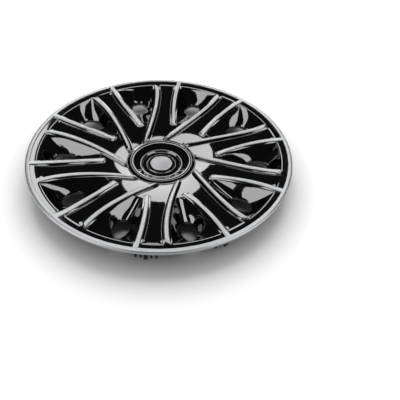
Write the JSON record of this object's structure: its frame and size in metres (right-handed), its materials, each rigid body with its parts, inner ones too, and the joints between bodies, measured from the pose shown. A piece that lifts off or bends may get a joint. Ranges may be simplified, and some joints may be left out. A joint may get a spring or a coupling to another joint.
{
  "type": "wheel cover",
  "caption": "Round clip-on cover for a steel car wheel: gloss black dish with silver rim, paired swirling spokes, deep vents and a sunken hub with a plain badge, held by clips and a wire ring.",
  "frame": {"origin": "on the wheel axis, in the plane of the outer rim's back edge, which seats on the wheel's rim", "axes": "+Z points out of the show face, along the wheel axis away from the car; +Y runs through the outer end of one short spoke; +X makes the frame right-handed"},
  "size_m": [0.395, 0.395, 0.041],
  "materials": {
    "black_plastic": "gloss black moulding",
    "silver_paint": "satin silver paint on the rim and the spoke crowns",
    "badge_silver": "satin silver disc",
    "spring_steel": "bright drawn spring wire"
  },
  "bodies": {
    "root": {"cover": "black_plastic", "badge": "badge_silver", "retaining_ring": "spring_steel"}
  },
  "joints": []
}
